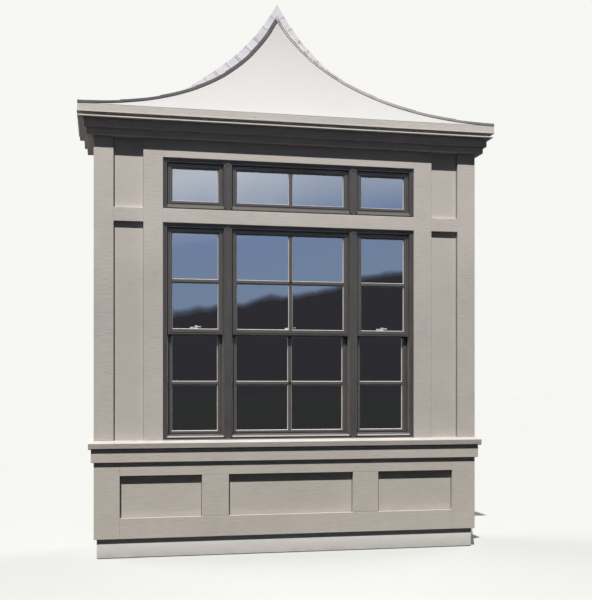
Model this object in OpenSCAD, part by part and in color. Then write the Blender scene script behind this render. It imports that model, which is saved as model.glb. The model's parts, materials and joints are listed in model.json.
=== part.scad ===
// Painted timber bay window with nine sashes, a stepped cornice and a swept roof that leans on the house wall.
// Frame: x to the right, y towards the house wall, z up from the ground, origin under the middle of the whole.

/* [Bay] */
// Width of the bay across its corner boards
bay_w = 2775; // [2600:5:3300]
// Depth of the bay from the house wall to the face of its corner boards
bay_depth = 590; // [480:5:760]
// Thickness of the framed walls behind the boards
wall_t = 100; // [80:1:120]
// Thickness of the boards that frame the recessed panels
board_t = 25; // [16:1:32]

/* [Plinth and base] */
// Height of the masonry plinth
plinth_h = 135; // [80:1:260]
// Thickness of the masonry plinth
plinth_t = 110; // [90:1:115]
// Setback of the plinth behind the corner boards
plinth_setback = 20; // [5:1:25]
// Height of the bottom rail of the base
base_bottom_rail_h = 144; // [80:1:200]
// Height of the recessed panels of the base
base_panel_h = 291; // [200:1:500]
// Height of the top rail of the base
base_top_rail_h = 95; // [60:1:140]
// Width of the corner stiles of the base
base_corner_w = 177; // [120:1:220]
// Width of the two inner stiles of the base
base_stile_w = 190; // [100:1:240]
// Width of the middle panel of the base
base_mid_panel_w = 905; // [600:1:1100]

/* [Sill] */
// Height of the band board under the sill
band_h = 92; // [50:1:130]
// How far the band board stands out
band_out = 19; // [10:1:25]
// Height of the sill's nose
sill_nose_h = 32; // [20:1:45]
// Rise of the sill's sloping top
sill_rise = 26; // [16:1:36]
// How far the sill stands out
sill_out = 38; // [30:1:60]
// Thickness of the window seat
seat_t = 25; // [18:1:30]

/* [Upper wall] */
// Width of the corner boards
corner_board_w = 135; // [90:1:180]
// Width of the casing stiles beside the windows
casing_w = 135; // [80:1:180]
// Height of the rail between the main windows and the transoms
transom_rail_h = 98; // [60:1:160]
// Height of the wall above the transoms
head_h = 127; // [80:1:200]

/* [Windows] */
// Width of the window opening
window_w = 1829; // [1600:1:1900]
// Height of the main window frame
main_h = 1518; // [1200:1:1700]
// Height of the transom frame
transom_h = 356; // [260:1:480]
// Width of the middle window over the posts' centre lines
middle_w = 915; // [700:1:1000]
// Width of the jambs
jamb_w = 30; // [20:1:45]
// Height of a frame's head
frame_head_h = 28; // [18:1:40]
// Height of a frame's sill
frame_sill_h = 26; // [18:1:40]
// Width of the posts between the windows
post_w = 60; // [45:1:80]
// Setback of the frames behind the casing stiles
frame_setback = 12; // [2:1:18]
// Setback of the outer sashes behind the casing stiles
sash_setback = 38; // [30:1:44]
// Width of the sash stiles
sash_stile_w = 35; // [28:1:50]
// Height of the sash rails
sash_rail_h = 33; // [28:1:50]
// Height of a transom sash rail
transom_sash_rail_h = 36; // [28:1:50]
// Height of the meeting rails
meeting_rail_h = 42; // [28:1:50]
// Thickness of a sash
sash_t = 35; // [30:1:38]
// Thickness of the glass
glass_t = 6; // [4:1:10]

/* [Cornice] */
// Height of the lowest step of the cornice
bed_h = 44; // [20:1:80]
// How far the lowest step stands out
bed_out = 47; // [20:1:50]
// Height of the middle step of the cornice
mid_h = 60; // [20:1:90]
// How far the middle step stands out
mid_out = 67; // [55:1:75]
// Thickness of the thin drip board
drip_t = 16; // [6:1:20]
// How far the drip board stands out
drip_out = 103; // [90:1:107]
// Height of the shaded reveal over the drip board
reveal_h = 18; // [10:1:40]
// Height of the crown fascia
crown_h = 48; // [40:1:120]
// How far the crown fascia stands out
crown_out = 108; // [108:1:140]
// Thickness of the crown fascia
crown_t = 25; // [15:1:30]

/* [Roof] */
// Steepest pitch of the side faces, at the peak, in degrees
peak_pitch = 63.3; // [55:0.1:66]
// Pitch of the front face at the eave, in degrees
front_eave_pitch = 34.5; // [28:0.1:42]
// Thickness of the front sheet
front_sheet_t = 20; // [12:1:24]
// Thickness of the side sheathing
sheathing_t = 18; // [12:1:24]
// Thickness of the shingles on the side faces
shingle_t = 14; // [10:1:30]
// How far the shingles stand over the front face
shingle_over = 12; // [8:1:24]
// Length of one flashing step along the slope
flashing_step = 110; // [90:1:200]
// Height of the flashing over the shingles, low down
flashing_low_h = 118; // [60:1:130]
// Height of the flashing over the shingles, at the peak
flashing_peak_h = 55; // [30:1:80]
// Height of the flashing's point over the peak of the roof
flashing_point_h = 125; // [90:1:150]
// Thickness of the flashing
flashing_t = 3; // [2:0.5:5]
// How much flatter than the slope each piece of flashing lies, in degrees
flashing_tilt = 3; // [0:0.5:6]
// Lap between two pieces of flashing
flashing_lap = 24; // [10:1:40]
// Depth of the curved wall rafters
rafter_h = 90; // [60:1:120]
// Thickness of the curved wall rafters
rafter_t = 38; // [25:1:50]

/* [Hidden] */

$fn = 96;
// Hairline between pieces that meet inside one node
gap = 0.3;
// Length that is longer than any cut needs
far = 6000;

// Plan
half_w = bay_w / 2;
wall_y = (bay_depth + crown_out) / 2;
face_y = wall_y - bay_depth;
core_y = face_y + board_t;
inner_y = core_y + wall_t;
wall_in = board_t + wall_t;
corner_reach = 200;
core_half = half_w - board_t;
inner_half = core_half - wall_t;
open_half = window_w / 2;
casing_out = open_half + casing_w;
panel_out = half_w - corner_board_w;

// Levels
base_bottom = plinth_h;
base_panel_bottom = base_bottom + base_bottom_rail_h;
base_panel_top = base_panel_bottom + base_panel_h;
base_top = base_panel_top + base_top_rail_h;
band_top = base_top + band_h;
sill_top = band_top + sill_nose_h + sill_rise;
seat_top = sill_top - seat_t;
seat_bottom = seat_top - seat_t;
main_top = sill_top + main_h;
transom_bottom = main_top + transom_rail_h;
transom_top = transom_bottom + transom_h;
wall_top = transom_top + head_h;
ceiling_t = 18;
ceiling_top = wall_top + ceiling_t;
mid_bottom = wall_top + bed_h;
drip_bottom = mid_bottom + mid_h;
reveal_bottom = drip_bottom + drip_t;
crown_bottom = reveal_bottom + reveal_h;
crown_top = crown_bottom + crown_h;

// Windows
post_x = middle_w / 2;
frame_y = face_y + frame_setback;
outer_sash_y = face_y + sash_setback;
sash_play = 2;
inner_sash_y = outer_sash_y + sash_t + sash_play;
sash_bottom = sill_top + frame_sill_h;
sash_top = main_top - frame_head_h;
meeting_bottom = (sash_bottom + sash_rail_h + sash_top - sash_rail_h - meeting_rail_h) / 2;
meeting_top = meeting_bottom + meeting_rail_h;
transom_sash_bottom = transom_bottom + frame_sill_h;
transom_sash_top = transom_top - frame_head_h;
groove_d = 10;
glass_in = 8;
groove_play = 0.3;
// Left and right edge of each sash
left_sash = [-open_half + jamb_w, -post_x - post_w / 2];
middle_sash = [-post_x + post_w / 2, post_x - post_w / 2];
right_sash = [post_x + post_w / 2, open_half - jamb_w];
sashes = [left_sash, middle_sash, right_sash];

// Roof: two families of circles, one seen along y for the sides and one seen along x for the front
roof_half = half_w + crown_out;
front_y = face_y - crown_out;
roof_depth = wall_y - front_y;
eave_z = crown_top + 4;
side_r = roof_half / sin(peak_pitch);
side_cz = eave_z + side_r;
roof_rise = side_r * (1 - cos(peak_pitch));
peak_z = eave_z + roof_rise;
front_chord = atan2(roof_rise, roof_depth);
front_peak_pitch = 2 * front_chord - front_eave_pitch;
front_r = roof_depth / (sin(front_peak_pitch) - sin(front_eave_pitch));
front_cy = front_y - front_r * sin(front_eave_pitch);
front_cz = eave_z + front_r * cos(front_eave_pitch);
peak_top_z = peak_z + flashing_point_h;
hip_steps = 24;
// Fineness of the big circles of the roof
roof_fn = 8 * ceil(side_r / 11);

// A box given by its low corner and its high corner
module box(low, high) {
    translate(low) cube(high - low);
}

// The child and its mirror image across the middle
module both_sides() {
    children();
    mirror([1, 0, 0]) children();
}

// Plan of the front length of a course, mitred at both corners
module front_mitre_plan() {
    r = corner_reach;
    polygon([
        [-half_w - r, face_y - r], [half_w + r, face_y - r],
        [half_w - r, face_y + r], [-half_w + r, face_y + r]]);
}

// Plan of the right-hand return of a course, mitred at its front corner
module side_mitre_plan() {
    r = corner_reach;
    polygon([
        [half_w - r + gap, face_y + r], [half_w + r + gap, face_y - r],
        [half_w + r + gap, wall_y], [half_w - r + gap, wall_y]]);
}

// A moulding that runs along the front and returns to the wall on both sides.
// Its profile has x outwards from the face of the corner boards and y up.
module course(outline) {
    intersection() {
        rotate([90, 0, 90]) translate([0, 0, -far / 2]) linear_extrude(far)
            polygon([for (p = outline) [face_y - p[0], p[1]]]);
        linear_extrude(far) front_mitre_plan();
    }
    both_sides() intersection() {
        translate([0, wall_y, 0]) rotate([90, 0, 0]) linear_extrude(far)
            polygon([for (p = outline) [half_w + p[0], p[1]]]);
        linear_extrude(far) side_mitre_plan();
    }
}

// Outline of a square-edged course
function plain(out, bottom, top) = [[0, bottom], [out, bottom], [out, top], [0, top]];

// Plinth and base

module plinth() {
    color("#e9e6df") {
        low_y = face_y + plinth_setback;
        x_out = half_w - plinth_setback;
        box([-x_out, low_y, 0], [x_out, low_y + plinth_t, plinth_h]);
        both_sides() box([x_out - plinth_t, low_y + plinth_t + gap, 0], [x_out, wall_y, plinth_h]);
    }
}

module base_walls() {
    color("#a79f97") {
        box([-core_half, core_y, base_bottom], [core_half, inner_y, seat_bottom]);
        both_sides() box([inner_half, inner_y + gap, base_bottom], [core_half, wall_y, seat_bottom]);
    }
}

module base_stiles() {
    inner_edge = base_mid_panel_w / 2;
    color("#aaa29a") {
        both_sides() {
            box([half_w - base_corner_w, face_y, base_bottom], [half_w, core_y, base_top]);
            box([core_half, core_y + gap, base_bottom], [half_w, face_y + base_corner_w, base_top]);
            box([core_half, wall_y - base_corner_w, base_bottom], [half_w, wall_y, base_top]);
            box([inner_edge, face_y, base_panel_bottom], [inner_edge + base_stile_w, core_y, base_panel_top]);
        }
    }
}

// Rails of the base between two levels, on the front and on both sides
module base_rail(bottom, top) {
    reach = half_w - base_corner_w;
    box([-reach, face_y, bottom], [reach, core_y, top]);
    both_sides() box([core_half, face_y + base_corner_w, bottom], [half_w, wall_y - base_corner_w, top]);
}

module base_rails() {
    color("#aaa29a") {
        base_rail(base_bottom, base_panel_bottom);
        base_rail(base_panel_top, base_top);
    }
}

module band_course() {
    band_outline = [
        [-board_t, base_top], [band_out, base_top], [band_out, band_top], [-board_t, band_top]];
    color("#aaa29a") course(band_outline);
}

module sill_course() {
    sill_outline = [
        [-board_t, band_top], [sill_out, band_top], [sill_out, band_top + sill_nose_h],
        [0, sill_top], [-board_t, sill_top]];
    color("#b3aaa2") {
        course(sill_outline);
        box([-open_half, core_y + gap, seat_top], [open_half, inner_y, sill_top]);
    }
}

module window_seat() {
    color("#8d7c68") box([-core_half, core_y, seat_bottom], [core_half, wall_y, seat_top]);
}

// Upper wall

// Wall beside the windows, on the right
module front_wall() {
    box([open_half, core_y, seat_top], [core_half, inner_y, wall_top]);
}

module side_wall() {
    box([inner_half, inner_y, seat_top], [core_half, wall_y, wall_top]);
}

module front_wall_left() {
    color("#b5ada6") mirror([1, 0, 0]) front_wall();
}

module front_wall_right() {
    color("#b5ada6") front_wall();
}

module side_wall_left() {
    color("#b5ada6") mirror([1, 0, 0]) side_wall();
}

module side_wall_right() {
    color("#b5ada6") side_wall();
}

module window_headers() {
    color("#b5ada6") {
        box([-open_half, core_y, main_top], [open_half, inner_y, transom_bottom]);
        box([-open_half, core_y, transom_top], [open_half, inner_y, wall_top]);
    }
}

module transom_rail() {
    color("#b9b1aa") box([-open_half, face_y, main_top], [open_half, core_y, transom_bottom]);
}

module corner_boards() {
    color("#b9b1aa") both_sides() {
        box([panel_out, face_y, sill_top], [half_w, core_y, wall_top]);
        box([core_half, core_y + gap, sill_top], [half_w, face_y + corner_board_w, wall_top]);
        box([core_half, wall_y - corner_board_w, sill_top], [half_w, wall_y, wall_top]);
    }
}

module casing_stiles() {
    color("#b9b1aa") both_sides()
        box([open_half, face_y, sill_top], [casing_out, core_y, wall_top]);
}

module cross_rails() {
    color("#b9b1aa") both_sides() {
        box([casing_out, face_y, main_top], [panel_out, core_y, transom_bottom]);
        box([core_half, face_y + corner_board_w, main_top],
            [half_w, wall_y - corner_board_w, transom_bottom]);
    }
}

module head_rail() {
    color("#b9b1aa") box([-open_half, face_y, transom_top], [open_half, core_y, wall_top]);
}

// Windows

// Head, sill and jambs of a window frame between two levels
module frame_members(bottom, top) {
    box([-open_half, frame_y, bottom], [open_half, inner_y, bottom + frame_sill_h]);
    box([-open_half, frame_y, top - frame_head_h], [open_half, inner_y, top]);
    both_sides() box(
        [open_half - jamb_w, frame_y, bottom + frame_sill_h + gap],
        [open_half, inner_y, top - frame_head_h - gap]);
}

module main_frame() {
    color("#57524e") frame_members(sill_top, main_top);
}

module transom_frame() {
    color("#57524e") frame_members(transom_bottom, transom_top);
}

// A post between two windows, with two grooves down its face
module mull_post(bottom, top) {
    groove = post_w / 15;
    difference() {
        box([post_x - post_w / 2, frame_y - frame_setback / 2, bottom], [post_x + post_w / 2, inner_y, top]);
        for (side = [-1, 1])
            translate([post_x + side * post_w / 6, frame_y - frame_setback / 2, bottom - 1])
                rotate([0, 0, 45]) translate([-groove / 2, -groove / 2, 0]) cube([groove, groove, far]);
    }
}

module mull_posts() {
    color("#57524e") both_sides() {
        mull_post(sash_bottom, sash_top);
        mull_post(transom_sash_bottom, transom_sash_top);
    }
}

// A sash: two stiles with two rails between them, all grooved for the glass.
// span gives its left and right edge, y its outer face.
module sash(span, y, bottom, top, bottom_rail, top_rail) {
    left = span[0];
    right = span[1];
    glass_y = y + sash_t / 2;
    difference() {
        union() {
            box([left, y, bottom], [left + sash_stile_w, y + sash_t, top]);
            box([right - sash_stile_w, y, bottom], [right, y + sash_t, top]);
            box([left + sash_stile_w + gap, y, bottom],
                [right - sash_stile_w - gap, y + sash_t, bottom + bottom_rail]);
            box([left + sash_stile_w + gap, y, top - top_rail],
                [right - sash_stile_w - gap, y + sash_t, top]);
        }
        box([left + sash_stile_w - groove_d, glass_y - glass_t / 2 - groove_play,
             bottom + bottom_rail - groove_d],
            [right - sash_stile_w + groove_d, glass_y + glass_t / 2 + groove_play,
             top - top_rail + groove_d]);
    }
}

module upper_sash(span) {
    sash(span, outer_sash_y, meeting_bottom, sash_top, meeting_rail_h, sash_rail_h);
}

module lower_sash(span) {
    sash(span, inner_sash_y, sash_bottom, meeting_top, sash_rail_h, meeting_rail_h);
}

module transom_sash(span) {
    rail = transom_sash_rail_h;
    sash(span, outer_sash_y, transom_sash_bottom, transom_sash_top, rail, rail);
}

module upper_sash_left() {
    color("#514c49") upper_sash(left_sash);
}

module upper_sash_middle() {
    color("#514c49") upper_sash(middle_sash);
}

module upper_sash_right() {
    color("#514c49") upper_sash(right_sash);
}

module lower_sash_left() {
    color("#514c49") lower_sash(left_sash);
}

module lower_sash_middle() {
    color("#514c49") lower_sash(middle_sash);
}

module lower_sash_right() {
    color("#514c49") lower_sash(right_sash);
}

module transom_sash_left() {
    color("#514c49") transom_sash(left_sash);
}

module transom_sash_middle() {
    color("#514c49") transom_sash(middle_sash);
}

module transom_sash_right() {
    color("#514c49") transom_sash(right_sash);
}

// One sheet of glass in each sash of a row
module glass_row(y, bottom, top) {
    glass_y = y + sash_t / 2;
    for (span = sashes)
        box([span[0] + sash_stile_w - glass_in, glass_y - glass_t / 2, bottom - glass_in],
            [span[1] - sash_stile_w + glass_in, glass_y + glass_t / 2, top + glass_in]);
}

module upper_glass() {
    color([0.6, 0.75, 0.85, 0.4]) glass_row(outer_sash_y, meeting_top, sash_top - sash_rail_h);
}

module lower_glass() {
    color([0.6, 0.75, 0.85, 0.4]) glass_row(inner_sash_y, sash_bottom + sash_rail_h, meeting_bottom);
}

module transom_glass() {
    rail = transom_sash_rail_h;
    color([0.6, 0.75, 0.85, 0.4])
        glass_row(outer_sash_y, transom_sash_bottom + rail, transom_sash_top - rail);
}

// A sash lock: a plate with a turning cam and its lever
module sash_lock() {
    plate = [80, 24, 4];
    cam_r = 10;
    cam_h = 12;
    lever = [46, 9, 6];
    translate([-plate[0] / 2, 0, 0]) cube(plate);
    translate([0, plate[1] / 2, plate[2]]) cylinder(r = cam_r, h = cam_h);
    translate([0, plate[1] / 2 - lever[1] / 2, plate[2] + cam_h - lever[2]]) cube(lever);
}

module sash_locks() {
    color("#f2f1ec") for (span = sashes)
        translate([(span[0] + span[1]) / 2, inner_sash_y + 5, meeting_top]) sash_lock();
}

// Cornice

module ceiling_board() {
    color("#d8d4cc") box([-half_w, face_y, wall_top], [half_w, wall_y, ceiling_top]);
}

module cornice_blocking() {
    blocking_outline = [
        [-wall_in, ceiling_top], [0, ceiling_top], [0, crown_top], [-wall_in, crown_top]];
    color("#a08a6c") course(blocking_outline);
}

module cornice_bed() {
    color("#a9a19a") course(plain(bed_out, wall_top, mid_bottom));
}

module cornice_mid() {
    color("#a9a19a") course(plain(mid_out, mid_bottom, drip_bottom));
}

module cornice_drip() {
    color("#dedad6") course(plain(drip_out, drip_bottom, reveal_bottom));
}

module crown_block() {
    block_outline = plain(crown_out - crown_t, reveal_bottom, crown_top);
    color("#a9a19a") course(block_outline);
}

module crown_fascia() {
    inside = crown_out - crown_t;
    crown_outline = [
        [inside, crown_bottom], [crown_out, crown_bottom], [crown_out, crown_top], [inside, crown_top]];
    color("#b9b0aa") course(crown_outline);
}

// Roof

// Half of the space under a side face, seen along y, with the surface raised by lift
module side_profile(lift) {
    difference() {
        translate([0, ceiling_top]) square([roof_half, peak_top_z - ceiling_top]);
        translate([roof_half, side_cz]) circle(r = side_r - lift, $fn = roof_fn);
    }
}

// The space under both side faces
module under_sides(lift) {
    both_sides() translate([0, wall_y, 0]) rotate([90, 0, 0]) linear_extrude(roof_depth)
        side_profile(lift);
}

// The space under the front face, with the surface raised by lift
module under_front(lift) {
    rotate([90, 0, 90]) translate([0, 0, -roof_half]) linear_extrude(2 * roof_half)
        difference() {
            translate([front_y, ceiling_top]) square([roof_depth, peak_top_z - ceiling_top]);
            translate([front_cy, front_cz]) circle(r = front_r - lift, $fn = roof_fn);
        }
}

// Everything above a level
module above(level) {
    translate([-far / 2, -far / 2, level]) cube(far);
}

// Everything but a hairline down the middle
module both_halves() {
    both_sides() translate([gap / 2, -far / 2, 0]) cube(far);
}

// Plan point of the right-hand hip at a share of the rise, moved out over the front face
function hip_point(share, out) =
    let (z = eave_z + share * roof_rise,
         across = sqrt(pow(side_r, 2) - pow(side_cz - z, 2)),
         back = sqrt(pow(front_r, 2) - pow(front_cz - z, 2)),
         turn = atan2((side_cz - z) / across, (front_cz - z) / back))
    [roof_half - across - out * cos(turn), front_cy + back - out * sin(turn)];

// Plan of the side faces, a little wider than the hips
module side_plan(out) {
    both_sides() intersection() {
        polygon([
            for (i = [1 : hip_steps]) hip_point(pow(i / hip_steps, 2), out),
            [0, wall_y], [roof_half, wall_y], [roof_half, front_y - out]]);
        translate([gap / 2, -far / 2]) square(far);
    }
}

module roof_front() {
    color("#e9e9e9") intersection() {
        difference() {
            under_front(0);
            under_front(-front_sheet_t);
        }
        under_sides(0);
        above(crown_top);
    }
}

module roof_sheathing() {
    color("#8a8078") intersection() {
        difference() {
            under_sides(0);
            under_sides(-sheathing_t);
        }
        under_front(-front_sheet_t - gap);
        above(crown_top);
        both_halves();
    }
}

module side_shingles() {
    color("#77726f") intersection() {
        difference() {
            under_sides(shingle_t);
            under_sides(gap);
        }
        linear_extrude(far) side_plan(shingle_over);
    }
}

// Outline of the right-hand wall rafter, seen along y
module rafter_profile() {
    top_r = side_r + sheathing_t + gap;
    difference() {
        intersection() {
            translate([gap / 2, ceiling_top]) square([inner_half - gap, peak_z - ceiling_top]);
            translate([roof_half, side_cz]) circle(r = top_r + rafter_h, $fn = roof_fn);
        }
        translate([roof_half, side_cz]) circle(r = top_r, $fn = roof_fn);
        translate([-far / 2, side_cz - top_r * cos(peak_pitch)]) square(far);
    }
}

module wall_rafters() {
    color("#9c8363") intersection() {
        both_sides() translate([0, wall_y, 0]) rotate([90, 0, 0]) linear_extrude(rafter_t)
            rafter_profile();
        under_front(-front_sheet_t - gap);
    }
}

// One piece of flashing on the right, counted from the peak down
module flashing_piece(k) {
    pitch = peak_pitch - (k + 0.5) * flashing_step / side_r * 180 / PI;
    height = flashing_peak_h + (flashing_low_h - flashing_peak_h) * min(1, k / 6);
    up = k == 0 ? 3 * flashing_step : flashing_step / 2 + flashing_lap / 2;
    down = flashing_step / 2 + flashing_lap / 2;
    layer = (k % 2) * (flashing_t + gap);
    top_r = side_r - shingle_t;
    translate([roof_half - top_r * sin(pitch), wall_y - layer, side_cz - top_r * cos(pitch)])
        rotate([0, pitch - flashing_tilt, 0])
            translate([-up, -flashing_t, -flashing_step / 4])
                cube([up + down, flashing_t, height + flashing_step / 4]);
}

// Pieces of sheet metal that stand up on the house wall along each side face
module step_flashing() {
    count = floor((peak_pitch - 5) * PI / 180 * side_r / flashing_step);
    color("#c9c6cf") difference() {
        both_sides() intersection() {
            for (k = [0 : count - 1]) flashing_piece(k);
            box([gap / 2, wall_y - wall_t, crown_top], [roof_half, wall_y, peak_top_z]);
        }
        under_sides(shingle_t + gap);
    }
}

plinth();
base_walls();
base_stiles();
base_rails();
band_course();
sill_course();
window_seat();
front_wall_left();
front_wall_right();
side_wall_left();
side_wall_right();
window_headers();
transom_rail();
corner_boards();
casing_stiles();
cross_rails();
head_rail();
main_frame();
transom_frame();
mull_posts();
upper_sash_left();
upper_sash_middle();
upper_sash_right();
lower_sash_left();
lower_sash_middle();
lower_sash_right();
transom_sash_left();
transom_sash_middle();
transom_sash_right();
upper_glass();
lower_glass();
transom_glass();
sash_locks();
ceiling_board();
cornice_blocking();
cornice_bed();
cornice_mid();
cornice_drip();
crown_block();
crown_fascia();
wall_rafters();
roof_front();
roof_sheathing();
side_shingles();
step_flashing();
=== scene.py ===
import json
import math
import random

import bmesh
import bpy
from bpy.props import FloatProperty, FloatVectorProperty, IntProperty, PointerProperty
from bpy.types import NodeSocket, Operator, Panel, PropertyGroup
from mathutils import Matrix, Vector


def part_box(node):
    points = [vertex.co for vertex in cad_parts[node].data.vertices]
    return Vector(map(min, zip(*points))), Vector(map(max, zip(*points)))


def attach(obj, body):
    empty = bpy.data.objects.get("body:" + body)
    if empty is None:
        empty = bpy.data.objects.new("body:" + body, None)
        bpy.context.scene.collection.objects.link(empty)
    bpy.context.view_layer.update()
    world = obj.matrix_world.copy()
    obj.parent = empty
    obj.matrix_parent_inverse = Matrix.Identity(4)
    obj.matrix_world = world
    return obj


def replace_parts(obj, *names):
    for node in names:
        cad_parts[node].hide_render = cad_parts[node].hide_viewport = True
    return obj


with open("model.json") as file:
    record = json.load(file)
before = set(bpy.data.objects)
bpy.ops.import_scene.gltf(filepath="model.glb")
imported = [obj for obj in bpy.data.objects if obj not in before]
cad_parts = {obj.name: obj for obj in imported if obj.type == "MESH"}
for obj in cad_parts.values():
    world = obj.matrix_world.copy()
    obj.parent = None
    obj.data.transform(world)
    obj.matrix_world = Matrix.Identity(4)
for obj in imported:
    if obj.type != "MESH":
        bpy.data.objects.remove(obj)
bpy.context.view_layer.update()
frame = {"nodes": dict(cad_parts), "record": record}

bl_info = {
    "name": "Bay Window",
    "version": (1, 0, 0),
    "blender": (4, 5, 0),
    "location": "3D View > Sidebar > Bay Window",
    "description": "Finishes and fine joinery for a square bay window with a swept roof",
    "category": "Object",
}

ROOT = "root"
MM = 0.001
X, Y, Z = 0, 1, 2
SASH_ROWS = ("upper", "lower", "transom")
SASH_SIDES = ("left", "middle", "right")


# Sizes and colours

def srgb(r, g, b):
    """A colour written as 0 to 255 on a screen, as linear numbers."""
    def linear(v):
        v /= 255
        return v / 12.92 if v <= 0.04045 else ((v + 0.055) / 1.055) ** 2.4
    return (linear(r), linear(g), linear(b))


def paint(name, description, *rgb):
    return FloatVectorProperty(name=name, description=description, default=srgb(*rgb),
                               subtype="COLOR", size=3, min=0, max=1)


def length(name, description, mm):
    return FloatProperty(name=name, description=description, default=mm * MM,
                         unit="LENGTH", subtype="DISTANCE", min=0)


class BayWindowPaints(PropertyGroup):
    siding: paint("Panels", "Paint of the recessed wall panels", 204, 199, 192)
    trim: paint("Boards", "Paint of the boards, rails and cornice", 205, 199, 193)
    base: paint("Base", "Paint of the base boards and panels", 193, 187, 178)
    crown: paint("Crown", "Paint of the crown board", 215, 210, 204)
    drip: paint("Drip", "Paint of the thin drip board", 220, 216, 212)
    window: paint("Windows", "Paint of the frames, sashes and bars", 74, 70, 67)
    # The beads' pale paint is a painted highlight: it makes the sunlit beads show as bright lines round the
    # panes.
    bead: paint("Beads", "Paint of the beads round the panes", 198, 194, 188)
    # The ledges' pale paint is a painted highlight: it stands for sun on the sloped ledges of the dark window
    # frames.
    ledge: paint("Ledges", "Sloped strips under the main windows", 175, 171, 166)
    joint: paint("Joints", "Old dark filler in the joints beside the panels", 44, 40, 38)
    # A dimmer painted highlight, for the same sloped ledges on the transoms.
    high_ledge: paint("High ledges", "Sloped strips under the transoms", 112, 107, 102)
    lock: paint("Locks", "Paint of the sash locks", 250, 249, 245)
    roof: paint("Roof front", "Coat of the swept front of the roof", 192, 191, 189)
    plinth: paint("Plinth", "Render of the plinth", 226, 223, 217)
    shingle: paint("Shingles", "Weathered shingles of the side faces", 112, 106, 101)
    edging: paint("Edging", "Metal edging on the right-hand hip", 140, 135, 132)
    # The left-hand hip's edging is the same metal as the right-hand one, painted darker: painted shade for
    # the shadow along that hip.
    shaded_edging: paint("Stained edging", "Metal edging on the left-hand hip, gone dark", 96, 91, 88)
    flashing: paint("Flashing", "Sheet metal of the step flashing", 230, 227, 230)
    inside: paint("Inside wood", "Bare wood inside the bay", 176, 148, 112)
    ceiling: paint("Ceiling", "Paint of the ceiling board", 222, 219, 211)
    glass: paint("Glass", "Tint of the glass", 205, 212, 216)


class BayWindowSizes(PropertyGroup):
    bar_width: length("Bar width", "Width of the core of the window bars", 23)
    bar_depth: length("Bar depth", "Depth of the window bars in front of the glass", 11)
    bead_width: length("Bead width", "Width of the sloped bead round each pane", 4.6)
    board_ease: length("Board ease", "Rounding of the boards' edges", 2.4)
    cover_width: length("Cover width", "Width of the flat cover over each post", 49)
    cover_proud: length("Cover proud", "How far a post cover stands in front of the mouldings", 7)
    ledge_height: length("Ledge height", "Height of the sloped ledge at the foot of a unit", 9)
    edging_width: length("Edging width", "Width of the metal edging on the hips", 30)
    edging_over: length("Edging overhang", "How far the edging stands over the roof's front", 9)
    edging_piece: length("Edging piece", "Length of one piece of edging", 290)
    flashing_step: length("Flashing step", "Length of one piece of step flashing", 110)
    shingle_course: length("Shingle course", "Exposed length of a shingle", 110)
    shingle_butt: length("Shingle butt", "Thickness of a shingle at its lower end", 9)
    peak_pitch: FloatProperty(name="Peak pitch", description="Pitch of the side faces at the peak",
                              default=math.radians(63.3), subtype="ANGLE", unit="ROTATION")
    front_pitch: FloatProperty(name="Front pitch", description="Pitch of the front face at the eave",
                               default=math.radians(34.5), subtype="ANGLE", unit="ROTATION")
    seed: IntProperty(name="Seed", description="Order of the random draws", default=11, min=0)


def sizes():
    return bpy.context.scene.bay_sizes


def shade(rgb, factor):
    return tuple(min(1, c * factor) for c in rgb)


# Materials

class Nodes:
    """A tree of shader nodes that are made with their sockets filled."""

    def __init__(self, tree):
        self.tree = tree

    def node(self, kind, sockets=None, output=0, **settings):
        """One output of a new node; a socket gets a value, or another node's output to follow."""
        made = self.tree.nodes.new("ShaderNode" + kind)
        for key, value in settings.items():
            setattr(made, key, value)
        for key, value in (sockets or {}).items():
            self.feed(made.inputs[key], value)
        return made.outputs[output]

    def feed(self, socket, value):
        if isinstance(value, NodeSocket):
            self.tree.links.new(value, socket)
        elif socket.type == "RGBA":
            socket.default_value = (*value, 1)
        else:
            socket.default_value = value

    def math(self, operation, *terms):
        return self.node("Math", dict(enumerate(terms)), operation=operation)


class Finish(Nodes):
    """A material with one shader, and a tone that starts as its colour and is broken up by textures."""

    def __init__(self, name, rgb):
        self.material = bpy.data.materials.new(name)
        self.material.use_nodes = True
        super().__init__(self.material.node_tree)
        self.tone = self.rgb = tuple(rgb)
        self.place = self.node("TexCoord", output="Object")

    def stretched(self, scale):
        return self.node("Mapping", {"Vector": self.place, "Scale": scale})

    def along(self, axis):
        return self.node("SeparateXYZ", {"Vector": self.place}, axis)

    def noise(self, scale, stretch=(1, 1, 1), detail=4, rough=0.55):
        return self.node("TexNoise", {
            "Vector": self.stretched(stretch), "Scale": scale, "Detail": detail, "Roughness": rough})

    def spread(self, value, low, high, at_low=0, at_high=1):
        return self.node("MapRange", {
            "Value": value, "From Min": low, "From Max": high, "To Min": at_low, "To Max": at_high})

    def blend(self, amount, first, second):
        return self.node("Mix", {0: amount, 6: first, 7: second}, 2, data_type="RGBA")

    def mottle(self, value, low, high, dark, light):
        """Sets the tone between two shades of the colour, as a value goes from low to high."""
        self.tone = self.blend(self.spread(value, low, high), shade(self.rgb, dark), shade(self.rgb, light))

    def touch(self, factor, value, low=0, high=1, at_low=0, at_high=1):
        """Pulls the tone towards one shade of the colour, as a value goes from low to high."""
        amount = self.spread(value, low, high, at_low, at_high)
        self.tone = self.blend(amount, self.tone, shade(self.rgb, factor))

    def surface(self, rough, bumps=(), **sockets):
        """Fills the shader. The bumps lie over each other: (height, distance in metres, strength)."""
        normal = {}
        for height, distance, strength in bumps:
            normal = {"Normal": self.node("Bump", {
                "Height": height, "Distance": distance, "Strength": strength, **normal})}
        sockets = {key.replace("_", " "): value for key, value in sockets.items()}
        for key, value in {"Base Color": self.tone, "Roughness": rough, **normal, **sockets}.items():
            self.feed(self.tree.nodes["Principled BSDF"].inputs[key], value)
        return self.material


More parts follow.
